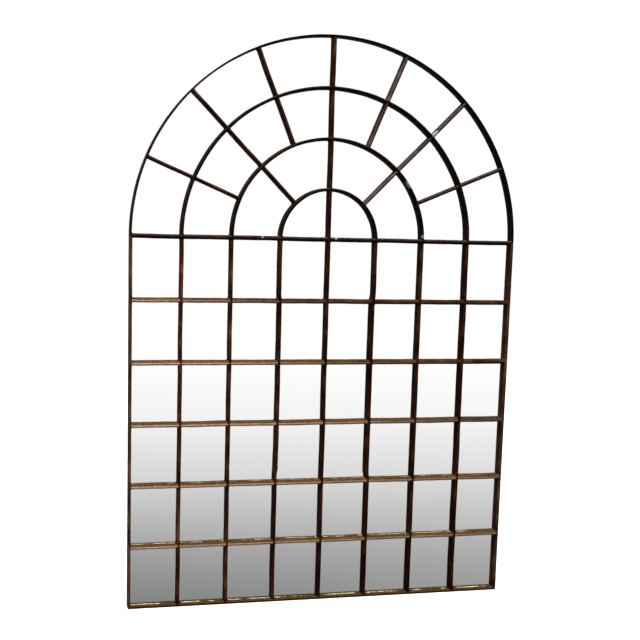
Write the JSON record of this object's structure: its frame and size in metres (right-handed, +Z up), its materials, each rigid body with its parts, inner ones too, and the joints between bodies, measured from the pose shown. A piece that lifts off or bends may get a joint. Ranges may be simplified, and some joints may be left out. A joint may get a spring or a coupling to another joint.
{
  "type": "arched window mirror",
  "caption": "Arched wall mirror in a dark steel window frame: a grid of slim bars and a fanlight head over one silvered sheet, with hanging rings behind.",
  "frame": {"origin": "middle of the underside of the frame, half way between the front plane and the wall", "axes": "+X across to the viewer's right, +Y from the front towards the wall, +Z up"},
  "size_m": [1.25, 0.043, 1.799],
  "materials": {
    "patinated_steel": "dark bronze-brown patina, satin",
    "silvered_glass": "polished",
    "fibreboard": "raw brown hardboard",
    "zinc_plated_steel": "zinc plated",
    "setting_rubber": "matt"
  },
  "bodies": {
    "frame": {"left_jamb": "patinated_steel", "right_jamb": "patinated_steel", "bottom_rail": "patinated_steel", "arch_rim": "patinated_steel", "upright_bar_1": "patinated_steel", "upright_bar_2": "patinated_steel", "upright_bar_3": "patinated_steel", "upright_bar_4": "patinated_steel", "upright_bar_5": "patinated_steel", "upright_bar_6": "patinated_steel", "centre_mullion": "patinated_steel", "crossbar_1": "patinated_steel", "crossbar_2": "patinated_steel", "crossbar_3": "patinated_steel", "crossbar_4": "patinated_steel", "crossbar_5": "patinated_steel", "transom": "patinated_steel", "inner_arch_1": "patinated_steel", "inner_arch_2": "patinated_steel", "inner_arch_3": "patinated_steel", "radial_bar_1": "patinated_steel", "radial_bar_2": "patinated_steel", "radial_bar_3": "patinated_steel", "radial_bar_4": "patinated_steel", "radial_bar_5": "patinated_steel", "radial_bar_6": "patinated_steel", "mirror_glass": "silvered_glass", "backing_board": "fibreboard", "left_setting_block": "setting_rubber", "right_setting_block": "setting_rubber", "retaining_clip_1": "zinc_plated_steel", "retaining_clip_2": "zinc_plated_steel", "retaining_clip_3": "zinc_plated_steel", "retaining_clip_4": "zinc_plated_steel", "retaining_clip_5": "zinc_plated_steel", "retaining_clip_6": "zinc_plated_steel", "clip_screw_1": "zinc_plated_steel", "clip_screw_2": "zinc_plated_steel", "clip_screw_3": "zinc_plated_steel", "clip_screw_4": "zinc_plated_steel", "clip_screw_5": "zinc_plated_steel", "clip_screw_6": "zinc_plated_steel", "lower_back_strap": "zinc_plated_steel", "upper_back_strap": "zinc_plated_steel", "strap_end_plate_1": "zinc_plated_steel", "strap_end_plate_2": "zinc_plated_steel", "strap_end_plate_3": "zinc_plated_steel", "strap_end_plate_4": "zinc_plated_steel", "strap_screw_1": "zinc_plated_steel", "strap_screw_2": "zinc_plated_steel", "strap_screw_3": "zinc_plated_steel", "strap_screw_4": "zinc_plated_steel", "left_hanger_plate": "zinc_plated_steel", "right_hanger_plate": "zinc_plated_steel", "hanger_screw_1": "zinc_plated_steel", "hanger_screw_2": "zinc_plated_steel", "hanger_screw_3": "zinc_plated_steel", "hanger_screw_4": "zinc_plated_steel"},
    "left_ring": {"left_hanging_ring": "zinc_plated_steel"},
    "right_ring": {"right_hanging_ring": "zinc_plated_steel"}
  },
  "joints": [
    {"name": "ring_left", "type": "hinge", "parent": "frame", "child": "left_ring", "pos_m": [-0.38, 0.015, 1.101], "axis": [1, 0, 0], "range_deg": [0, 180]},
    {"name": "ring_right", "type": "hinge", "parent": "frame", "child": "right_ring", "pos_m": [0.38, 0.015, 1.101], "axis": [1, 0, 0], "range_deg": [0, 180]}
  ]
}
